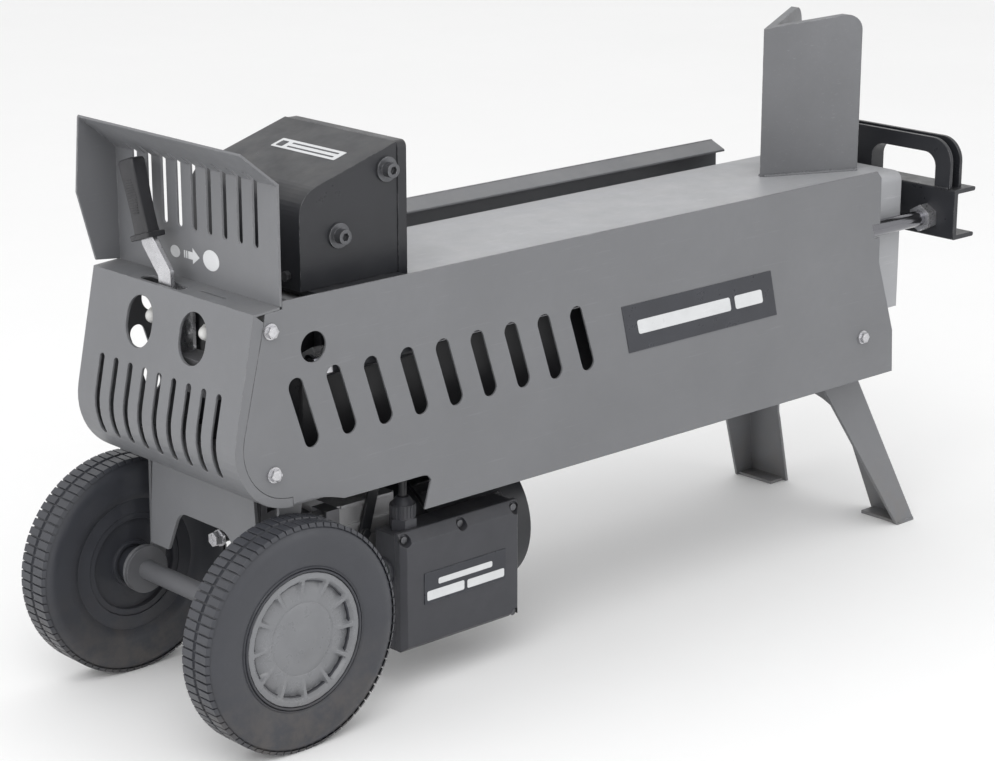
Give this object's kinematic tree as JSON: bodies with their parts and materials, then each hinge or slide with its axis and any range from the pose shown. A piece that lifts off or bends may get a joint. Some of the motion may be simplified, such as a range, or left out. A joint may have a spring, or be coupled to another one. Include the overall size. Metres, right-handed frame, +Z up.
{
  "type": "log splitter",
  "caption": "Horizontal electric hydraulic log splitter on wheels, with a vented grey body, a black pusher driven along a beam toward a fixed wedge, a hand lever and a rear stand",
  "frame": {"origin": "on the ground at the bottom centre of the whole machine", "axes": "+X from the wheel end to the wedge end, +Y to the lever side, +Z up"},
  "size_m": [1.235, 0.348, 0.6599],
  "materials": {
    "beam_paint": "satin light grey paint",
    "panel_paint": "matt mid grey powder coat",
    "axle_paint": "satin dark grey paint",
    "black_paint": "satin black paint",
    "wedge_steel": "worn plain steel",
    "zinc_steel": "bright zinc plate",
    "dark_steel": "blackened steel",
    "rod_chrome": "polished hard chrome",
    "cast_aluminium": "fine sand cast",
    "cast_iron_grey": "machined cast iron",
    "tyre_rubber": "dull bluish black rubber",
    "rim_plastic": "dull black plastic",
    "cap_plastic": "silver grey plastic",
    "grip_rubber": "soft black rubber",
    "box_plastic": "fine grained black plastic",
    "cap_white": "pale plastic",
    "button_green": "glossy green plastic",
    "label_black": "smooth dark film",
    "pad_bronze": "oily bronze",
    "seal_rubber": "smooth black rubber"
  },
  "bodies": {
    "frame": {"main_beam": "beam_paint", "side_panel_near": "panel_paint", "side_panel_far": "panel_paint", "front_cover": "panel_paint", "hand_guard": "panel_paint", "floor_pan": "panel_paint", "wheel_bracket": "panel_paint", "axle_tube": "axle_paint", "axle_rod": "zinc_steel", "leg_stand": "panel_paint", "wedge": "wedge_steel", "cylinder_tube": "black_paint", "cylinder_head": "zinc_steel", "oil_tank": "black_paint", "filler_caps": "cap_white", "drain_plug": "zinc_steel", "valve_block": "cast_iron_grey", "lever_bracket": "zinc_steel", "hydraulic_pipes": "black_paint", "pump_housing": "cast_aluminium", "pump_cover": "cast_iron_grey", "pump_hangers": "black_paint", "motor_housing": "black_paint", "motor_stator": "cast_iron_grey", "fan_cover": "black_paint", "motor_bearings": "zinc_steel", "switch_box": "box_plastic", "box_lid": "box_plastic", "lid_screws": "dark_steel", "cable_gland": "box_plastic", "motor_cable": "grip_rubber", "lever_switch": "box_plastic", "panel_bolts": "zinc_steel", "label_plates": "label_black"},
    "ram": {"pusher_shell": "black_paint", "pusher_face": "black_paint", "pusher_carriage": "black_paint", "pusher_bolts": "dark_steel", "wear_pads": "pad_bronze", "tie_rods": "rod_chrome", "ram_nuts": "zinc_steel", "crosshead": "black_paint", "lift_handle": "black_paint", "piston_rod": "rod_chrome", "piston": "cast_aluminium", "piston_seals": "seal_rubber"},
    "wheel_near": {"tyre_near": "tyre_rubber", "rim_near": "rim_plastic", "hub_cap_near": "cap_plastic"},
    "wheel_far": {"tyre_far": "tyre_rubber", "rim_far": "rim_plastic", "hub_cap_far": "cap_plastic"},
    "lever": {"lever_strip": "zinc_steel", "lever_grip": "grip_rubber"},
    "spool": {"valve_spool": "rod_chrome"},
    "start_button": {"start_button": "button_green"},
    "rotor": {"rotor_shaft": "zinc_steel", "motor_fan": "box_plastic", "pump_gear_drive": "zinc_steel"},
    "driven_gear": {"pump_gear_driven": "zinc_steel"}
  },
  "joints": [
    {"name": "ram_travel", "type": "slide", "parent": "frame", "child": "ram", "axis": [1, 0, 0], "range_m": [0, 0.52]},
    {"name": "near_wheel_spin", "type": "hinge", "parent": "frame", "child": "wheel_near", "pos_m": [-0.4925, 0, 0.125], "axis": [0, 1, 0], "continuous": true},
    {"name": "far_wheel_spin", "type": "hinge", "parent": "frame", "child": "wheel_far", "pos_m": [-0.4925, 0, 0.125], "axis": [0, 1, 0], "continuous": true},
    {"name": "lever_swing", "type": "hinge", "parent": "frame", "child": "lever", "pos_m": [-0.5145, 0.02, 0.425], "axis": [1, 0, 0], "range_deg": [-12, 18], "stiffness_Nm_per_rad": 3},
    {"name": "spool_slide", "type": "slide", "parent": "frame", "child": "spool", "axis": [0, 1, 0], "range_m": [-0.009, 0.013]},
    {"name": "start_press", "type": "slide", "parent": "frame", "child": "start_button", "axis": [1, 0, 0], "range_m": [0, 0.004], "stiffness_N_per_m": 400},
    {"name": "rotor_spin", "type": "hinge", "parent": "frame", "child": "rotor", "pos_m": [-0.1925, 0, 0.126], "axis": [1, 0, 0], "continuous": true},
    {"name": "driven_gear_spin", "type": "hinge", "parent": "frame", "child": "driven_gear", "pos_m": [-0.3475, 0, 0.0956], "axis": [1, 0, 0], "continuous": true}
  ],
  "couplings": [
    {"joint": "spool_slide", "follows": "lever_swing", "m_per_rad": 0.037},
    {"joint": "driven_gear_spin", "follows": "rotor_spin", "ratio": -1}
  ]
}
